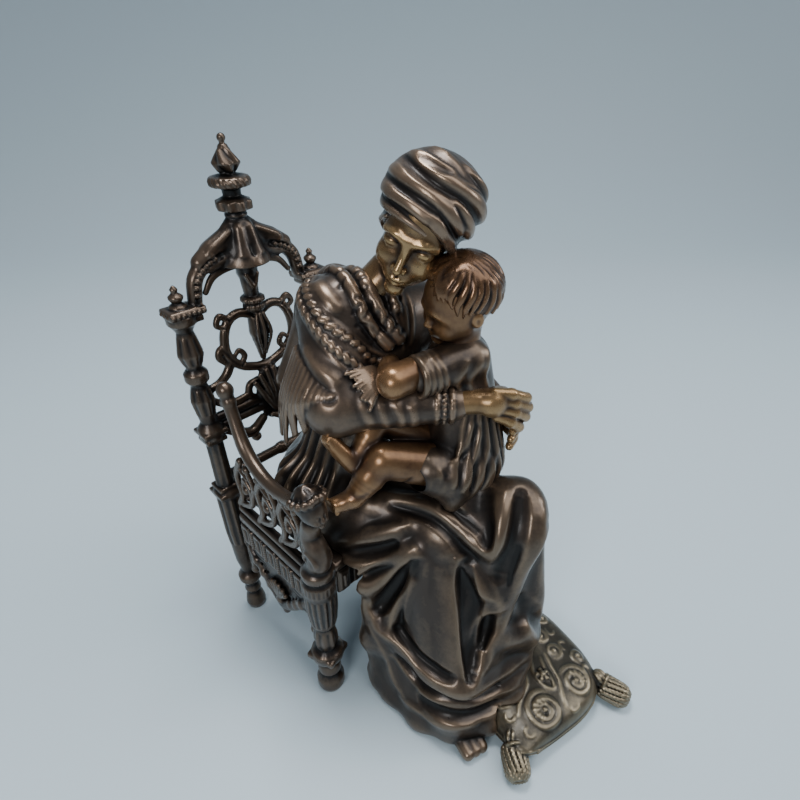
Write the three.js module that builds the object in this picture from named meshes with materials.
// An enthroned mother and child: a bronze statuette of six castings.
// Millimetres, +Z up. The sitter faces -Y and her right hand is towards -X.
// While it is shaped, the group stands on the plane z = 0 with the middle between its rear feet at x = y = 0.
// At the end it is moved so that the middle of its footprint is at the origin.
import * as THREE from 'three'

// Driving dimensions
const HEIGHT = 420 // ground to the tip of the pinnacle
const HALF_WIDTH = 60 // middle of the throne to the middle of a post
const DEPTH = 118 // rear posts to front posts
const RAKE = 0.066 // how far the back leans for each millimetre of height
const SEAT_TOP = 136 // top of the side rails
const SEAT_THICKNESS = 12
const POST_TOP = 311 // top of the rear posts' capitals
const MASK_HEIGHT = 211 // middle of the mask heads on the arms
const PANEL = 3.4 // half the thickness of the pierced work
const GAP = 1 // clearance between neighbouring castings
const GROUND_WEIGHT = 30 // how much more a flat foot counts than other faces when a surface is thinned
const SOLE = 1.5 // points of a thinned surface this near to the ground are set on it
const CUSHION = { x: 55, y: -233, width: 95, depth: 88, thickness: 28, turn: -0.234 }

// Colours of the patina
const ROBE_BRONZE = { color: 0x4a3524, roughness: 0.34, metalness: 1 }
const THRONE_BRONZE = { color: 0x352a22, roughness: 0.42, metalness: 1 }
const CUSHION_BRONZE = { color: 0x5d5236, roughness: 0.5, metalness: 1 }

const plus = (a, b) => a.map((value, i) => value + b[i])
const minus = (a, b) => a.map((value, i) => value - b[i])
const times = (a, factor) => a.map((value) => value * factor)
const dot = (a, b) => a[0] * b[0] + a[1] * b[1] + a[2] * b[2]
const cross = (a, b) => [
  a[1] * b[2] - a[2] * b[1],
  a[2] * b[0] - a[0] * b[2],
  a[0] * b[1] - a[1] * b[0],
]
const unit = (a) => times(a, 1 / Math.hypot(...a))
const clamp = (value, low, high) => Math.min(Math.max(value, low), high)
const mix = (a, b, share) => a + (b - a) * share

// A smooth line through hand-placed points, each with its own radius.
function smoothLine(points, radii, steps) {
  const curve = new THREE.CatmullRomCurve3(points.map((p) => new THREE.Vector3(...p)), false, 'catmullrom')
  const line = []
  for (let i = 0; i <= steps; i++) {
    const share = i / steps
    const place = share * (points.length - 1)
    const k = Math.min(Math.floor(place), points.length - 2)
    line.push({ at: curve.getPoint(share).toArray(), radius: mix(radii[k], radii[k + 1], place - k) })
  }
  return line
}

// Clay holds the distance to a surface on a grid of samples. Forms are added to it and hollows are cut from
// it one after another, and each joins what is there with a soft fillet of the given blend.
class Clay {
  constructor(low, high, step) {
    this.low = low
    this.step = step
    this.size = minus(high, low).map((length) => Math.ceil(length / step) + 1)
    this.samples = new Float32Array(this.size[0] * this.size[1] * this.size[2]).fill(4 * step + 12)
  }

  index(i, j, k) {
    return (i * this.size[1] + j) * this.size[2] + k
  }

  // Applies a distance function inside a box, as an added form or as a cut.
  shape(distance, low, high, blend, cut) {
    const margin = blend + 2.5 * this.step
    const from = low.map((value, i) => Math.max(0, Math.floor((value - margin - this.low[i]) / this.step)))
    const to = high.map((value, i) =>
      Math.min(this.size[i] - 1, Math.ceil((value + margin - this.low[i]) / this.step)),
    )
    const point = [0, 0, 0]
    for (let i = from[0]; i <= to[0]; i++) {
      point[0] = this.low[0] + i * this.step
      for (let j = from[1]; j <= to[1]; j++) {
        point[1] = this.low[1] + j * this.step
        for (let k = from[2]; k <= to[2]; k++) {
          point[2] = this.low[2] + k * this.step
          const at = this.index(i, j, k)
          const old = this.samples[at]
          const form = cut ? -distance(point) : distance(point)
          const near = Math.max(blend - Math.abs(old - form), 0) / blend
          const fillet = near * near * blend * 0.25
          this.samples[at] = cut ? Math.max(old, form) + fillet : Math.min(old, form) - fillet
        }
      }
    }
  }

  // A round bar whose thickness changes along a smooth line.
  bar(points, radii, blend = 6, cut = false) {
    const line = points.length > 2 ? smoothLine(points, radii, 3 * (points.length - 1)) : null
    const knots = line || points.map((at, i) => ({ at, radius: radii[i] }))
    const reach = (pick, sign) =>
      [0, 1, 2].map((axis) => pick(...knots.map((knot) => knot.at[axis] + sign * knot.radius)))
    const spans = knots.slice(1).map((knot, i) => {
      const start = knots[i]
      const along = minus(knot.at, start.at)
      return { start: start.at, along, square: dot(along, along), from: start.radius, to: knot.radius }
    })
    const distance = (point) => {
      let nearest = Infinity
      for (const span of spans) {
        const offset = minus(point, span.start)
        const share = clamp(dot(offset, span.along) / span.square, 0, 1)
        const rest = minus(offset, times(span.along, share))
        nearest = Math.min(nearest, Math.hypot(...rest) - mix(span.from, span.to, share))
      }
      return nearest
    }
    this.shape(distance, reach(Math.min, -1), reach(Math.max, 1), blend, cut)
  }

  cutBar(points, radii, blend = 5) {
    this.bar(points, radii, blend, true)
  }

  // An ellipsoid with three radii along the three given axes.
  egg(centre, radii, blend = 4, axes = [[1, 0, 0], [0, 1, 0], [0, 0, 1]], cut = false) {
    const reach = Math.max(...radii)
    const distance = (point) => {
      const offset = minus(point, centre)
      const q = axes.map((axis, i) => dot(offset, axis) / radii[i])
      const length = Math.hypot(...q)
      const slope = Math.hypot(q[0] / radii[0], q[1] / radii[1], q[2] / radii[2]) + 1e-9
      return (length * (length - 1)) / slope
    }
    this.shape(distance, minus(centre, [reach, reach, reach]), plus(centre, [reach, reach, reach]), blend, cut)
  }

  // A flat piece of cloth with a rounded edge between three corners.
  plate(a, b, c, radius, blend) {
    const sides = [[a, minus(b, a)], [b, minus(c, b)], [c, minus(a, c)]]
    const normal = cross(sides[0][1], minus(a, c))
    const square = dot(normal, normal)
    const walls = sides.map(([, along]) => cross(along, normal))
    const distance = (point) => {
      const offsets = sides.map(([corner]) => minus(point, corner))
      const signs = walls.map((wall, i) => Math.sign(dot(wall, offsets[i])))
      if (signs[0] === signs[1] && signs[1] === signs[2]) {
        return Math.abs(dot(normal, offsets[0])) / Math.sqrt(square) - radius
      }
      const edges = sides.map(([, along], i) => {
        const share = clamp(dot(along, offsets[i]) / dot(along, along), 0, 1)
        return Math.hypot(...minus(offsets[i], times(along, share)))
      })
      return Math.min(...edges) - radius
    }
    const low = [0, 1, 2].map((i) => Math.min(a[i], b[i], c[i]) - radius)
    const high = [0, 1, 2].map((i) => Math.max(a[i], b[i], c[i]) + radius)
    this.shape(distance, low, high, blend, false)
  }

  // Cloth hung between two lines that have the same number of points.
  cloth(first, second, radius, blend) {
    for (let i = 0; i + 1 < first.length; i++) {
      this.plate(first[i], first[i + 1], second[i], radius, blend)
      this.plate(first[i + 1], second[i + 1], second[i], radius, blend)
    }
  }

  // A post turned to a profile of [radius, height] pairs. Its axis leans by rake.
  turned(x, y, profile, rake = 0) {
    const top = profile[profile.length - 1][1]
    const widest = Math.max(...profile.map(([radius]) => radius))
    const distance = (point) => {
      const k = clamp(profile.findIndex(([, height]) => height >= point[2]), 1, profile.length - 1)
      const [radiusA, heightA] = profile[k - 1]
      const [radiusB, heightB] = profile[k]
      const radius = mix(radiusA, radiusB, clamp((point[2] - heightA) / (heightB - heightA), 0, 1))
      const side = Math.hypot(point[0] - x, point[1] - y - rake * point[2]) - radius
      return Math.max(side * 0.85, point[2] - top)
    }
    const lean = rake * top
    this.shape(distance, [x - widest, y - widest, profile[0][1]], [x + widest, y + lean + widest, top], 1, false)
  }

  // A block with rounded edges, turned about the vertical.
  block(centre, half, round = 1, blend = 1, turn = 0, cut = false) {
    const [c, s] = [Math.cos(turn), Math.sin(turn)]
    const distance = (point) => {
      const offset = minus(point, centre)
      const local = [offset[0] * c + offset[1] * s, offset[1] * c - offset[0] * s, offset[2]]
      const q = local.map((value, i) => Math.abs(value) - half[i] + round)
      return Math.hypot(...q.map((value) => Math.max(value, 0))) + Math.min(Math.max(...q), 0) - round
    }
    const reach = [Math.hypot(half[0], half[1]), Math.hypot(half[0], half[1]), half[2]]
    this.shape(distance, minus(centre, reach), plus(centre, reach), blend, cut)
  }

  // Keeps what lies behind a plane: everything with a positive height over it goes.
  trim(height) {
    this.shape((point) => -height(point), this.low, plus(this.low, times(this.size, this.step)), 0.01, true)
  }

  // Fills sample patterns in which two sheets would meet in a single edge or corner.
  sealCorners() {
    const [nx, ny, nz] = this.size
    const steps = [this.index(1, 0, 0), this.index(0, 1, 0), this.index(0, 0, 1)]
    const [x, y, z] = steps
    const faces = [[x, y], [y, z], [z, x]]
    const corners = [0, x, y, z, x + y, y + z, x + z, x + y + z]
    const opposite = [[0, x + y + z], [x, y + z], [y, x + z], [z, x + y]]
    const inside = -0.05 * this.step
    let changed = true
    while (changed) {
      changed = false
      for (let i = 0; i + 1 < nx; i++) {
        for (let j = 0; j + 1 < ny; j++) {
          for (let k = 0; k + 1 < nz; k++) {
            const at = this.index(i, j, k)
            const inner = (offset) => this.samples[at + offset] < 0
            const count = corners.reduce((sum, corner) => sum + inner(corner), 0)
            if (count === 0 || count === 8) continue
            for (const [a, b] of faces) {
              if (inner(0) === inner(a + b) && inner(a) === inner(b) && inner(0) !== inner(a)) {
                this.samples[inner(0) ? at + a : at] = inside
                changed = true
              }
            }
            for (const [p, q] of opposite) {
              if (count === 2 && inner(p) && inner(q)) {
                this.samples[at + (p === 0 ? x : 0)] = inside
                changed = true
              }
              if (count === 6 && !inner(p) && !inner(q)) {
                this.samples[at + p] = inside
                changed = true
              }
            }
          }
        }
      }
    }
  }

  // The surface as triangles: one point in each cell that it crosses, one square for each edge that it cuts.
  surface() {
    this.sealCorners()
    const [nx, ny, nz] = this.size
    const points = []
    const names = new Map()
    const value = (i, j, k) => this.samples[this.index(i, j, k)]
    const cellPoint = (i, j, k) => {
      const name = this.index(i, j, k)
      if (names.has(name)) return names.get(name)
      const sum = [0, 0, 0]
      let count = 0
      for (let axis = 0; axis < 3; axis++) {
        for (let n = 0; n < 4; n++) {
          const start = [i, j, k]
          start[(axis + 1) % 3] += n & 1
          start[(axis + 2) % 3] += n >> 1
          const end = [...start]
          end[axis] += 1
          const a = value(...start)
          const b = value(...end)
          if (a < 0 === b < 0) continue
          start[axis] += a / (a - b)
          for (let c = 0; c < 3; c++) sum[c] += start[c]
          count++
        }
      }
      points.push(plus(this.low, times(sum, this.step / count)))
      names.set(name, points.length - 1)
      return points.length - 1
    }
    const triangles = []
    for (let i = 1; i + 1 < nx; i++) {
      for (let j = 1; j + 1 < ny; j++) {
        for (let k = 1; k + 1 < nz; k++) {
          const here = value(i, j, k) < 0
          for (let axis = 0; axis < 3; axis++) {
            const next = [i, j, k]
            next[axis] += 1
            if (here === value(...next) < 0) continue
            const ring = [[0, 0], [1, 0], [1, 1], [0, 1]].map(([u, v]) => {
              const cell = [i, j, k]
              cell[(axis + 1) % 3] -= u
              cell[(axis + 2) % 3] -= v
              return cellPoint(...cell)
            })
            if (!here) ring.reverse()
            triangles.push([ring[0], ring[1], ring[2]], [ring[0], ring[2], ring[3]])
          }
        }
      }
    }
    return largestBody(points, triangles)
  }
}

// Keeps the largest connected body of a surface.
function largestBody(points, triangles) {
  const group = points.map((_, i) => i)
  const find = (i) => {
    while (group[i] !== i) i = group[i] = group[group[i]]
    return i
  }
  for (const [a, b, c] of triangles) {
    group[find(a)] = find(b)
    group[find(b)] = find(c)
  }
  const counts = new Map()
  for (const [a] of triangles) counts.set(find(a), (counts.get(find(a)) || 0) + 1)
  const largest = [...counts].sort((first, second) => second[1] - first[1])[0][0]
  return { points, triangles: triangles.filter(([a]) => find(a) === largest) }
}

// The sum of squared distances to a set of planes, kept as the ten numbers of a symmetric 4 by 4 matrix.
function planeSum(normal, offset, weight) {
  const plane = [...normal, offset]
  const sum = []
  for (let i = 0; i < 4; i++) for (let j = i; j < 4; j++) sum.push(plane[i] * plane[j] * weight)
  return sum
}

function planeError(sum, [x, y, z]) {
  return (
    sum[0] * x * x + 2 * sum[1] * x * y + 2 * sum[2] * x * z + 2 * sum[3] * x +
    sum[4] * y * y + 2 * sum[5] * y * z + 2 * sum[6] * y +
    sum[7] * z * z + 2 * sum[8] * z + sum[9]
  )
}

// The point with the least error, held near the middle of the edge where the planes leave it free.
function bestPoint(sum, middle, hold) {
  const a = sum[0] + hold
  const d = sum[4] + hold
  const f = sum[7] + hold
  const [b, c, e] = [sum[1], sum[2], sum[5]]
  const right = [hold * middle[0] - sum[3], hold * middle[1] - sum[6], hold * middle[2] - sum[8]]
  const rows = [[a, b, c], [b, d, e], [c, e, f]]
  const det = dot(rows[0], cross(rows[1], rows[2]))
  if (Math.abs(det) < 1e-9) return middle
  const columns = [0, 1, 2].map((column) => {
    const swapped = rows.map((row, i) => row.map((value, j) => (j === column ? right[i] : value)))
    return dot(swapped[0], cross(swapped[1], swapped[2])) / det
  })
  return columns
}

// Thins a closed surface to a number of triangles. In each round the edges whose loss changes the shape
// least are drawn together into one point, and no two that touch go in the same round.
function thin({ points, triangles }, count) {
  const sums = points.map(() => new Array(10).fill(0))
  const normalOf = (a, b, c) => cross(minus(b, a), minus(c, a))
  for (const corners of triangles) {
    const normal = normalOf(...corners.map((corner) => points[corner]))
    const area = Math.hypot(...normal)
    if (area < 1e-9) continue
    const facing = times(normal, 1 / area)
    const onGround = corners.every((corner) => Math.abs(points[corner][2]) < 0.1)
    const weight = onGround ? GROUND_WEIGHT * area : area
    const sum = planeSum(facing, -dot(facing, points[corners[0]]), weight)
    for (const corner of corners) sum.forEach((value, i) => (sums[corner][i] += value))
  }
  while (triangles.length > count) {
    const around = points.map(() => [])
    triangles.forEach((corners, face) => corners.forEach((corner) => around[corner].push(face)))
    const ring = (corner) => new Set(around[corner].flatMap((face) => triangles[face]))
    const edges = []
    for (const corners of triangles) {
      corners.forEach((a, i) => {
        const b = corners[(i + 1) % 3]
        if (a > b) return
        const sum = sums[a].map((value, n) => value + sums[b][n])
        const middle = times(plus(points[a], points[b]), 0.5)
        const target = bestPoint(sum, middle, 0.02 * (sum[0] + sum[4] + sum[7]) + 1e-6)
        edges.push({ a, b, sum, target, cost: planeError(sum, target) })
      })
    }
    edges.sort((first, second) => first.cost - second.cost)
    const busy = new Uint8Array(points.length)
    let left = Math.ceil(Math.min(triangles.length - count, triangles.length / 5) / 2)
    let moved = 0
    for (const { a, b, sum, target } of edges) {
      if (left <= 0) break
      if (busy[a] || busy[b]) continue
      const ringA = ring(a)
      const ringB = ring(b)
      const shared = [...ringA].filter((corner) => ringB.has(corner) && corner !== a && corner !== b)
      const near = [...ringA, ...ringB]
      if (shared.length !== 2 || near.some((corner) => busy[corner])) continue
      const turnsOver = [...around[a], ...around[b]].some((face) => {
        const corners = triangles[face]
        if (corners.includes(a) && corners.includes(b)) return false
        const before = normalOf(...corners.map((corner) => points[corner]))
        const after = normalOf(...corners.map((corner) => (corner === a || corner === b ? target : points[corner])))
        return dot(before, after) <= 0.25 * Math.hypot(...before) * Math.hypot(...after)
      })
      if (turnsOver) continue
      points[a] = target
      sums[a] = sum
      for (const face of around[b]) triangles[face] = triangles[face].map((corner) => (corner === b ? a : corner))
      for (const corner of near) busy[corner] = 1
      left--
      moved++
    }
    triangles = triangles.filter(([a, b, c]) => a !== b && b !== c && c !== a)
    if (moved === 0) break
  }
  return { points, triangles }
}

// One casting: a named mesh of the thinned surface.
function casting(name, clay, count, look) {
  const { points, triangles } = thin(clay.surface(), count)
  const used = [...new Set(triangles.flat())]
  for (const corner of used) {
    if (Math.abs(points[corner][2]) < SOLE) points[corner] = [points[corner][0], points[corner][1], 0]
  }
  const order = new Map(used.map((corner, i) => [corner, i]))
  const geometry = new THREE.BufferGeometry()
  const places = new Float32Array(used.flatMap((corner) => points[corner]))
  geometry.setAttribute('position', new THREE.BufferAttribute(places, 3))
  geometry.setIndex(triangles.flat().map((corner) => order.get(corner)))
  geometry.computeVertexNormals()
  const mesh = new THREE.Mesh(geometry, new THREE.MeshStandardMaterial(look))
  mesh.name = name
  return mesh
}

const SIDES = [-1, 1]

// The throne's back: two turned posts that stand on their own feet, and the pierced panel between them.
function throneBack() {
  const clay = new Clay([-82, -16, -5], [82, 46, HEIGHT + 6], 2.2)
  const at = (x, z, out = 0) => [x, RAKE * z + out, z]
  const rod = (line, radii, blend = 1.5) => clay.bar(line.map(([x, z, out]) => at(x, z, out)), radii, blend)
  const both = (line, radii, blend) => {
    for (const side of SIDES) rod(line.map(([x, z, out]) => [side * x, z, out]), radii, blend)
  }
  const post = [
    [8, 0], [9.5, 6], [8, 14], [5.5, 19], [8, 23], [6, 30], [10.5, 37], [10.5, 42], [6, 48], [8.5, 62],
    [9.5, 84], [10.5, 100], [10.5, 140], [11.5, 143], [11.5, 147], [7.6, 152], [7.2, 196], [10, 202],
    [10, 210], [6.4, 215], [9.4, 236], [6.2, 249], [9.4, 254], [9.4, 259], [6, 263], [9.6, 275], [6.2, 293],
    [9, 299],
  ]
  for (const side of SIDES) {
    clay.turned(side * HALF_WIDTH, 0, post, RAKE)
    clay.block(at(side * (HALF_WIDTH - 3), POST_TOP - 6), [13.5, 9, 5.5], 2, 1)
    clay.bar([at(side * HALF_WIDTH, POST_TOP), at(side * HALF_WIDTH, POST_TOP + 5)], [6, 3.4], 1)
    clay.egg(at(side * HALF_WIDTH, POST_TOP + 10), [4.6, 4.6, 4], 1)
  }
  // Pinnacle: ball, twisted flame, disc, lobed collar and flaring hub
  const pinnacle = [
    [20, 331], [14, 346], [11, 360], [7, 365], [8, 367], [7, 369], [12.5, 371], [12.5, 376], [6.5, 379],
    [7, 385], [14.5, 387], [14.5, 391], [5, 394], [9, 402], [3.4, 412],
  ]
  clay.turned(0, 0, pinnacle, RAKE)
  rod([[0, 411], [0, HEIGHT - 3]], [2.8, 3], 1)
  // Volutes and the arch arms that land on the posts
  both([[8, 358], [20, 355], [29, 347], [25, 340], [20, 346]], [5, 5, 5, 4.4, 3.6])
  both([[22, 341], [34, 336], [43, 327], [46, 312]], [6.4, 6, 6, 5.4])
  both([[14, 334], [24, 325], [28, 314]], [4, 3, 2])
  // Stem, collars and the leaf that hangs inside the ring
  rod([[0, 340], [0, 318], [0, 306]], [11, 7, 6], 3)
  clay.egg(at(0, 301), [9.5, 6.5, 3.4], 1)
  clay.egg(at(0, 295.5), [8.4, 6, 3], 1)
  rod([[0, 292], [0, 274, -1], [0, 250, 1]], [7, 8.4, 3.4], 2)
  // The ring of scrolls
  both([[4, 289], [15, 293], [25, 289], [31, 277], [31, 262], [22, 250], [8, 244], [-3, 243]], [4, 4, 4, 3.8, 3.8, 3.8, 4, 4])
  both([[31, 262], [36, 268], [38, 262], [33, 256]], [3, 3.2, 3, 3])
  both([[31, 254], [36, 247], [44, 242], [54, 240]], [4, 4, 3.6, 3.4])
  // Shell boss on the cross rail
  clay.egg(at(0, 216, -1), [15, 8, 29], 3)
  both([[10, 232], [18, 230], [20, 222], [14, 216]], [3.4, 3.6, 3.6, 3.4])
  for (const z of [207, 214]) rod([[-53, z], [53, z]], [4, 4])
  both([[50, 203], [42, 197], [34, 190], [24, 187], [12, 196]], [3.6, 4.4, 5, 5, 4])
  both([[22, 186], [22, 179]], [3, 4.6], 1)
  both([[52, 232], [44, 222], [30, 220], [18, 222]], [3, 3.4, 3.4, 3])
  // Seat-level rail and the rail between the feet
  rod([[-53, 157], [53, 157]], [4.6, 4.6])
  rod([[-53, 120], [53, 120]], [6, 6])
  clay.trim(([, , z]) => z - (HEIGHT + 0.5))
  clay.trim(([, , z]) => -z)
  return casting('throne_back', clay, 1900, THRONE_BRONZE)
}

// One side: front post, arm with its knob and mask head, pierced work, rails, hanging fringe and apron.
function throneSide(name, side) {
  const x = side * HALF_WIDTH
  const clay = new Clay([x - 20, -DEPTH - 22, -5], [x + 20, -6, 266], 2.2)
  const at = (y, z, out = 0) => [x + side * out, -y, z]
  const rod = (line, radii, blend = 1.5) => clay.bar(line.map(([y, z, out]) => at(y, z, out)), radii, blend)
  const leg = [
    [10, 0], [11.8, 6], [11.4, 14], [7.4, 21], [9.8, 25], [9.2, 32], [7, 38], [13.4, 46], [13.4, 51],
    [8.4, 56], [9.4, 62], [9.4, 70], [7.6, 82], [10.6, 87], [12.4, 110], [12.6, 126], [13.4, 129],
    [13.4, 136], [11, 139], [12.6, 143], [12.6, 148], [8, 152],
  ]
  clay.turned(x, -DEPTH, leg)
  // Console scroll that carries the mask head
  rod([[DEPTH - 2, 148], [DEPTH + 3, 160], [DEPTH - 1, 172], [DEPTH, 184], [DEPTH + 1, 194]], [8, 9, 8, 8, 8], 2)
  rod([[DEPTH - 9, 152], [DEPTH - 12, 166], [DEPTH - 6, 178]], [4, 4.4, 4])
  clay.egg(at(DEPTH + 2, MASK_HEIGHT - 1), [10.5, 11, 13.4], 2)
  clay.egg(at(DEPTH + 1, MASK_HEIGHT + 4), [12, 12, 11], 2)
  clay.egg(at(DEPTH + 10, MASK_HEIGHT - 7), [5, 4.4, 7], 3)
  // Handrail from the knob down to the head
  rod([[15, 250, -6], [22, 232, -5], [34, 211, -3], [54, 199, -1], [80, 197], [DEPTH - 6, 205]], [5, 5, 5.4, 5.4, 5, 5])
  clay.egg(at(14, 252, -6), [6.4, 6.4, 7], 2)
  // Pierced leaves under the handrail
  rod([[14, 142], [20, 160], [16, 178], [24, 196], [30, 210]], [4, PANEL, PANEL, PANEL, 4])
  rod([[20, 144], [34, 152], [38, 168], [28, 176], [24, 166]], [PANEL, PANEL, PANEL, 3, 2.6])
  rod([[40, 146], [50, 162], [46, 182], [56, 198]], [PANEL, PANEL, PANEL, 4])
  rod([[50, 146], [64, 154], [68, 170], [58, 178], [54, 168]], [PANEL, PANEL, PANEL, 3, 2.6])
  rod([[72, 146], [80, 162], [76, 182], [84, 198]], [PANEL, PANEL, PANEL, 4])
  rod([[80, 146], [94, 154], [98, 170], [88, 178], [84, 168]], [PANEL, PANEL, PANEL, 3, 2.6])
  rod([[98, 168], [104, 184], [DEPTH - 6, 192]], [PANEL, PANEL, PANEL])
  rod([[34, 178], [44, 186]], [PANEL, PANEL])
  rod([[64, 180], [74, 188]], [PANEL, PANEL])
  // Side rails with the hanging fringe of tongues
  clay.block(at(60, 139), [3.6, 48, 3.4], 2, 1)
  clay.block(at(60, 130), [5.4, 48, 5.4], 3, 1)
  clay.block(at(60, 114), [4.4, 48, 12], 2, 1)
  const tongues = 5
  for (let i = 0; i < tongues; i++) {
    const y = 21 + (i * 76) / (tongues - 1)
    clay.block(at(y, 112, 5), [2.2, 6, 9], 2, 1)
    rod([[y + 9.5, 124, 5], [y + 9.5, 104, 5]], [2.4, 2.8])
  }
  // Apron of scrolls and leaves, deepest in the middle
  rod([[14, 98], [30, 84], [48, 66], [62, 60], [76, 68], [92, 84], [106, 94]], [6, 7, 8, 8, 8, 7, 6], 3)
  clay.block(at(60, 88), [3.4, 42, 16], 2, 3)
  rod([[14, 98], [18, 76], [14, 62]], [5, 5, 4])
  rod([[108, 96], [104, 76], [106, 62]], [5, 5, 4])
  clay.egg(at(62, 52), [5, 7, 7], 2)
  clay.trim(([, , z]) => -z)
  clay.trim(([, y, z]) => y + 12.6 + GAP - RAKE * z)
  return casting(name, clay, 1000, THRONE_BRONZE)
}

// The seat: a board with a moulded front rail, let in between the sides.
function throneSeat() {
  const clay = new Clay([-56, -DEPTH - 12, 90], [56, 0, 146], 2.5)
  const back = -14 + RAKE * 136
  const front = -DEPTH + 4
  clay.block([0, (back + front) / 2, SEAT_TOP - SEAT_THICKNESS / 2], [45, (back - front) / 2, SEAT_THICKNESS / 2], 1, 1)
  clay.bar([[-42, front, SEAT_TOP - 5], [42, front, SEAT_TOP - 5]], [5, 5], 1)
  clay.block([0, front, 112], [42, 3.4, 14], 2, 1)
  return casting('throne_seat', clay, 120, THRONE_BRONZE)
}

// Local axes of something that faces forward with its crown towards up: its right, front and up.
function facing(forward, up) {
  const front = unit(forward)
  const crown = unit(minus(up, times(front, dot(front, up))))
  return [cross(front, crown), front, crown]
}

// Mother: hips, torso, legs inside the robe, and the robe hung between and round them.
function motherBody(clay) {
  clay.egg([6, -58, 162], [44, 42, 30], 6)
  clay.bar([[8, -60, 168], [24, -76, 235]], [37, 31], 12)
  clay.bar([[24, -76, 235], [34, -84, 288]], [31, 35], 12)
  clay.bar([[10, -75, 316], [74, -94, 300]], [26, 24], 14)
  clay.bar([[-16, -58, 162], [16, -160, 146]], [29, 24], 14)
  clay.bar([[24, -70, 162], [54, -200, 170]], [28, 28], 14)
  clay.bar([[16, -160, 146], [-6, -212, 22]], [24, 28], 10)
  clay.bar([[54, -200, 170], [60, -212, 52]], [28, 26], 10)
  clay.bar([[40, -166, 186], [62, -204, 184]], [16, 16], 14)
  const betweenKnees = [[54, -205, 165], [56, -212, 100], [48, -222, 42]]
  clay.cloth([[16, -163, 150], [4, -190, 80], [-6, -214, 22]], betweenKnees, 16, 12)
  const rightFall = [[-20, -128, 130], [-29, -142, 60], [-28, -150, 8]]
  clay.cloth(rightFall, [[10, -165, 140], [-10, -185, 70], [-22, -205, 14]], 10, 10)
  const leftFall = [[62, -150, 150], [72, -160, 90], [78, -170, 40]]
  clay.cloth(leftFall, [[58, -205, 160], [68, -205, 90], [72, -210, 42]], 10, 10)
}

// The hem spreads on the ground at her right and climbs over the cushion at her left.
function hem(clay) {
  const rightHem = [[-22, -138, 6], [-28, -165, 6], [-28, -196, 6], [-17, -220, 8], [4, -238, 14], [28, -241, 26]]
  const leftHem = [[28, -241, 26], [50, -230, 36], [68, -218, 42], [80, -196, 42], [80, -160, 36]]
  const rightTop = [[-10, -140, 60], [-10, -165, 60], [-8, -190, 50], [0, -205, 50], [14, -212, 50], [34, -212, 60]]
  const leftTop = [[34, -212, 60], [48, -210, 80], [58, -206, 90], [60, -195, 90], [58, -160, 80]]
  clay.bar([...rightHem, ...leftHem.slice(1)], new Array(10).fill(8), 10)
  clay.cloth(rightHem, rightTop, 8, 10)
  clay.cloth(leftHem, leftTop, 8, 10)
}

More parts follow.
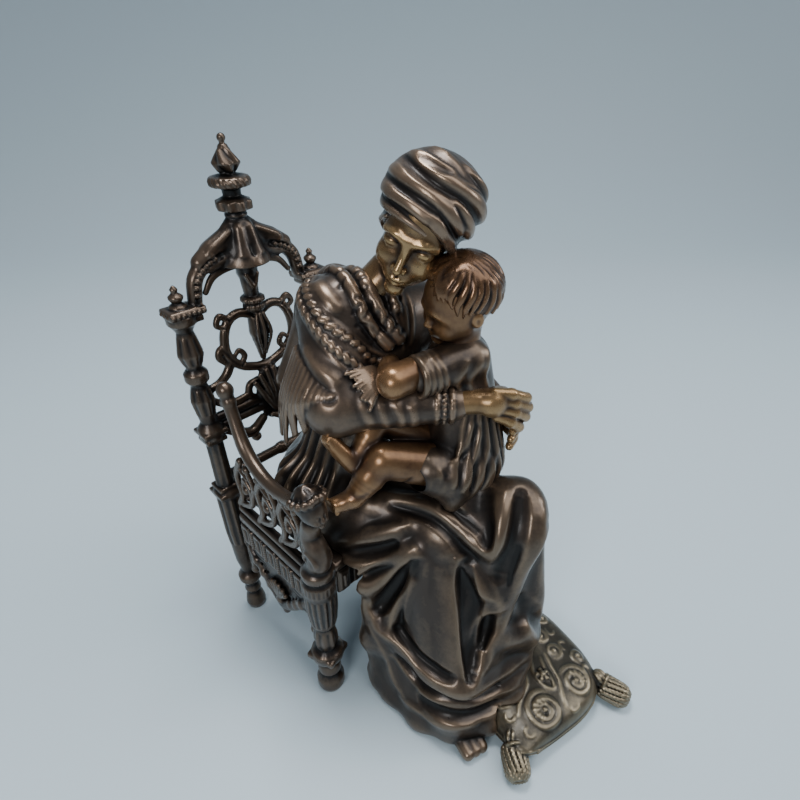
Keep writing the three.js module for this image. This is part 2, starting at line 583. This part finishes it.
// The main folds of the robe, each crest and hollow a bar along its line.
function robeFolds(clay) {
  const thighCrest = [[-6, -115, 178], [8, -143, 177], [12, -172, 172], [12, -186, 162]]
  const shinCrest = [[10, -188, 160], [4, -197, 128], [-6, -214, 76], [-13, -222, 54]]
  const secondCrest = [[-8, -172, 138], [-20, -166, 106], [-30, -168, 78]]
  const sideCrests = [
    [[-24, -107, 143], [-18, -132, 160], [-2, -149, 171]],
    [[-36, -126, 130], [-22, -142, 141], [-13, -158, 152], [-5, -170, 162]],
    [[-36, -130, 112], [-33, -138, 114], [-25, -144, 120]],
  ]
  const rightEdge = [[-31, -134, 104], [-32, -157, 74], [-33, -176, 26], [-32, -199, 23], [-22, -222, 30]]
  const lowRight = [[-32, -141, 96], [-29, -163, 77], [-26, -185, 60], [-24, -211, 50]]
  const hemRoll = [[-28, -196, 48], [-26, -214, 48], [-14, -229, 46], [6, -237, 43], [29, -240, 47], [52, -238, 56], [66, -232, 66]]
  const longCrest = [[60, -214, 192], [46, -226, 163], [33, -224, 114], [10, -223, 73], [-10, -223, 56]]
  const lapEdge = [[4, -126, 181], [18, -160, 184], [23, -190, 176], [26, -210, 162]]
  const lapReturn = [[56, -192, 204], [39, -208, 198], [28, -213, 178], [26, -210, 162]]
  const kneePocket = [[17, -196, 154], [20, -212, 132], [33, -224, 116]]
  const lowLeft = [[70, -234, 56], [40, -236, 74], [14, -229, 66], [-10, -224, 56]]
  clay.bar(thighCrest, [6, 7, 8, 7], 8)
  clay.bar(shinCrest, [5, 5, 6, 5], 6)
  clay.bar(secondCrest, [4, 6, 5], 7)
  for (const crest of sideCrests) clay.bar(crest, crest.map(() => 5), 6)
  clay.bar(rightEdge, [3, 4, 5, 5, 5], 6)
  clay.bar(lowRight, [4, 6, 6, 4], 6)
  clay.bar(hemRoll, [4, 6, 7, 7, 6, 5, 4], 6)
  clay.bar(longCrest, [5, 5, 5, 5, 4], 6)
  clay.bar(lapEdge, [3, 4, 4, 4], 4)
  clay.bar(lapReturn, [3, 4, 4, 4], 4)
  clay.bar(kneePocket, [3, 4, 4], 5)
  clay.bar([[12, -214, 106], [33, -224, 116]], [3, 4], 4)
  clay.bar(lowLeft, [4, 7, 6, 4], 8)
  const leftSide = [
    [[86, -190, 160], [88, -186, 100], [84, -182, 46]],
    [[76, -160, 150], [84, -158, 96], [86, -160, 40]],
    [[58, -142, 140], [66, -142, 90], [72, -146, 38]],
  ]
  for (const crest of leftSide) clay.bar(crest, [5, 6, 6], 6)
  for (const crest of leftSide) {
    clay.cutBar(crest.map(([x, y, z]) => [x + 6, y + 14, z]), [3, 5, 5], 6)
  }
  clay.cutBar([[-3, -172, 160], [-14, -162, 124], [-29, -153, 97], [-37, -152, 82]], [2, 7, 6, 4], 6)
  clay.cutBar([[17, -195, 157], [12, -208, 125], [4, -220, 84], [-6, -229, 60]], [3, 6, 6, 4], 5)
  clay.cutBar([[-33, -170, 73], [-32, -184, 58], [-31, -206, 54]], [3, 5, 4], 5)
  clay.cutBar([[14, -160, 181], [19, -182, 175], [19, -195, 160]], [2, 4, 4], 4)
  clay.cutBar([[66, -200, 206], [42, -218, 193], [30, -220, 163], [26, -218, 143]], [2, 5, 6, 5], 5)
  clay.cutBar([[30, -180, 196], [27, -198, 186], [26, -206, 172]], [6, 6, 3], 4)
  clay.cutBar([[47, -234, 150], [43, -233, 118], [34, -231, 91]], [4, 8, 6], 10)
}

// Her head, bent over the child, with the wound cloth round it.
function motherHead(clay) {
  const middle = [50.5, -116, 374]
  const axes = facing([-0.78, -0.55, -0.3], [-0.093, -0.372, 0.923])
  const place = (right, front, up) =>
    plus(middle, plus(times(axes[0], right), plus(times(axes[1], front), times(axes[2], up))))
  clay.bar([[26, -80, 318], place(0, -10, -18)], [15, 14], 6)
  clay.egg(place(0, -3, 8), [25, 31, 28], 3, axes)
  clay.egg(place(0, 11, -13), [20, 20, 26], 4, axes)
  clay.bar([place(0, 30, 6), place(0, 37, -9)], [3.4, 4.6], 3)
  clay.egg(place(0, 28, -33), [9, 7, 7], 4, axes)
  clay.bar([place(-7, 31, -20), place(7, 31, -20)], [3, 3], 3)
  for (const side of SIDES) clay.egg(place(side * 10, 35, 0), [7, 5, 5], 4, axes, true)
  clay.egg(place(0, -7, 16), [34, 35, 27], 3, axes)
  clay.egg(place(0, -16, 4), [31, 26, 26], 5, axes)
  clay.bar([place(-28, 8, 10), place(-14, 24, 20), place(10, 25, 19), place(27, 8, 8)], [6, 6, 6, 6], 4)
  clay.bar([place(-28, 2, 24), place(-12, 19, 32), place(12, 18, 31), place(29, 0, 20)], [7, 7, 7, 7], 3)
  clay.bar([place(-22, -12, 33), place(-6, 4, 40), place(14, 0, 38), place(27, -14, 26)], [6, 7, 7, 6], 3)
}

// Shawl over the shoulders, both arms, and the fringe that hangs at her right elbow.
function shawlAndArms(clay) {
  clay.bar([[6, -76, 310], [-18, -102, 264]], [25, 23], 8)
  clay.bar([[-18, -102, 264], [38, -158, 264]], [20, 12.5], 6)
  clay.bar([[38, -158, 264], [58, -176, 267], [76, -180, 256]], [10, 10, 6], 4)
  for (let finger = 0; finger < 4; finger++) {
    const drop = finger * 5
    clay.bar([[66, -180, 266 - drop], [80, -182, 262 - drop], [84, -172, 254 - drop]], [4, 3.4, 2.8], 2)
  }
  clay.bar([[78, -94, 296], [96, -120, 250]], [22, 18], 8)
  clay.bar([[96, -120, 250], [82, -170, 246]], [16, 9], 6)
  clay.cloth([[6, -46, 316], [34, -44, 322], [66, -58, 312]], [[-6, -30, 250], [22, -34, 226], [58, -46, 246]], 8, 8)
  const edges = [
    [[16, -100, 336], [34, -112, 312], [40, -126, 290]],
    [[-2, -92, 326], [14, -116, 300], [30, -130, 278]],
    [[-14, -88, 300], [-6, -118, 284], [16, -132, 274]],
  ]
  for (const edge of edges) clay.bar(edge, [5, 6, 5], 4)
  clay.cloth([[-22, -70, 262], [-30, -92, 254]], [[-34, -52, 222], [-38, -76, 214]], 7, 6)
  clay.cloth([[-30, -92, 254], [-18, -116, 256]], [[-38, -76, 214], [-32, -104, 232]], 7, 6)
}

// The child, seated on her lap and clinging to her, in a short shirt.
function childForms(clay) {
  const headMiddle = [54.5, -146.5, 333]
  clay.bar([[54, -160, 212], [60, -144, 284]], [28, 22], 6)
  clay.egg([60, -160, 202], [27, 20, 16], 6)
  clay.egg(headMiddle, [26, 28, 29], 3)
  clay.egg(plus(headMiddle, [-14, 4, -10]), [14, 14, 15], 5)
  clay.bar([[54, -150, 300], headMiddle], [11, 11], 4)
  clay.bar([[46, -166, 208], [-8, -136, 229]], [19, 13], 4)
  clay.bar([[-8, -136, 229], [-30, -130, 205]], [11, 8], 3)
  clay.bar([[-30, -130, 205], [-44, -122, 201]], [7.4, 5.4], 3)
  clay.bar([[40, -140, 215], [2, -114, 240]], [13, 10], 4)
  clay.bar([[2, -114, 240], [-24, -121, 219]], [9, 6.6], 3)
  clay.bar([[-24, -121, 219], [-27, -97, 238]], [6.6, 4.6], 3)
  clay.bar([[54, -156, 292], [2, -138, 288]], [15, 11], 4)
  clay.bar([[2, -138, 288], [14, -116, 304]], [10, 7], 4)
  clay.bar([[22, -144, 292], [24, -144, 276]], [13, 13], 3)
}

// Her bare foot under the hem.
function foot(clay) {
  for (let toe = 0; toe < 3; toe++) {
    clay.bar([[-8 - 6 * toe, -226, 9], [-13 - 6 * toe, -246 + 2 * toe, 6]], [6, 5], 2)
  }
}

// A place on the cushion from its middle, along its width and its depth.
function onCushion(u, v, z) {
  const [c, s] = [Math.cos(CUSHION.turn), Math.sin(CUSHION.turn)]
  return [CUSHION.x + c * u - s * v, CUSHION.y + s * u + c * v, z]
}

// The stuffing bulges between the corners at the front and at the sitter's left.
function cushionSwells() {
  const front = [onCushion(-34, -42, 13), onCushion(0, -46, 13), onCushion(34, -42, 13)]
  const left = [onCushion(43, -32, 13), onCushion(45, 0, 13), onCushion(43, 32, 13)]
  return [{ line: front, radii: [11, 12, 11] }, { line: left, radii: [10, 11, 10] }]
}

// Leaves room for the throne and the cushion, and stands the robe flat on the ground.
function clearNeighbours(clay) {
  const armInside = HALF_WIDTH - 13.4 - GAP
  const armFront = -DEPTH - 16
  for (const side of SIDES) {
    const x = side * (armInside + 50)
    clay.block([x, armFront / 2, 115], [50, -armFront / 2, 118], 1, 4, 0, true)
  }
  clay.block([0, armFront / 2, SEAT_TOP / 2], [120, -armFront / 2, SEAT_TOP / 2 + GAP], 1, 1, 0, true)
  clay.trim(([, y, z]) => y + 10 - RAKE * z)
  const { x, y, width, depth, thickness, turn } = CUSHION
  const half = [width / 2 + GAP, depth / 2 + GAP, thickness / 2 + GAP]
  clay.block([x, y, thickness / 2], half, 8, 0.5, turn, true)
  for (const { line, radii } of cushionSwells()) clay.cutBar(line, radii.map((radius) => radius + 2 * GAP), 1)
  clay.trim(([, , z]) => -z)
}

function figureGroup() {
  const clay = new Clay([-80, -274, -10], [134, 12, HEIGHT + 8], 4.6)
  motherBody(clay)
  hem(clay)
  robeFolds(clay)
  shawlAndArms(clay)
  motherHead(clay)
  childForms(clay)
  foot(clay)
  clearNeighbours(clay)
  return casting('figure_group', clay, 5200, ROBE_BRONZE)
}

// The cushion: a crowned pad with a knotted ball and a tassel at each corner.
function footCushion() {
  const { x, y, width, depth, thickness, turn } = CUSHION
  const clay = new Clay([x - 92, y - 88, -6], [x + 92, y + 88, thickness + 12], 2.8)
  clay.block([x, y, thickness / 2], [width / 2, depth / 2, thickness / 2], 11, 1, turn)
  for (const { line, radii } of cushionSwells()) clay.bar(line, radii, 4)
  const corners = [[-1, -1], [1, -1], [1, 1], [-1, 1]]
  for (const [right, back] of corners) {
    const corner = onCushion((right * width) / 2, (back * depth) / 2, thickness / 2)
    const out = unit(minus(onCushion(right, back, 0), [x, y, 0]))
    clay.egg(plus(corner, times(out, 2)), [6.5, 6.5, 6.5], 2)
    const neck = plus(corner, times(out, 6))
    clay.bar([neck, plus(corner, [...times(out, 24).slice(0, 2), -3])], [5.5, 10], 2)
  }
  clay.trim(([, , z]) => -z)
  return casting('foot_cushion', clay, 640, CUSHION_BRONZE)
}

const statue = new THREE.Group()
statue.add(
  figureGroup(),
  throneBack(),
  throneSide('throne_side_right', -1),
  throneSide('throne_side_left', 1),
  throneSeat(),
  footCushion(),
)
const footprint = new THREE.Box3().setFromObject(statue)
const middle = footprint.getCenter(new THREE.Vector3())
statue.position.set(-middle.x, -middle.y, -footprint.min.z)

export default statue
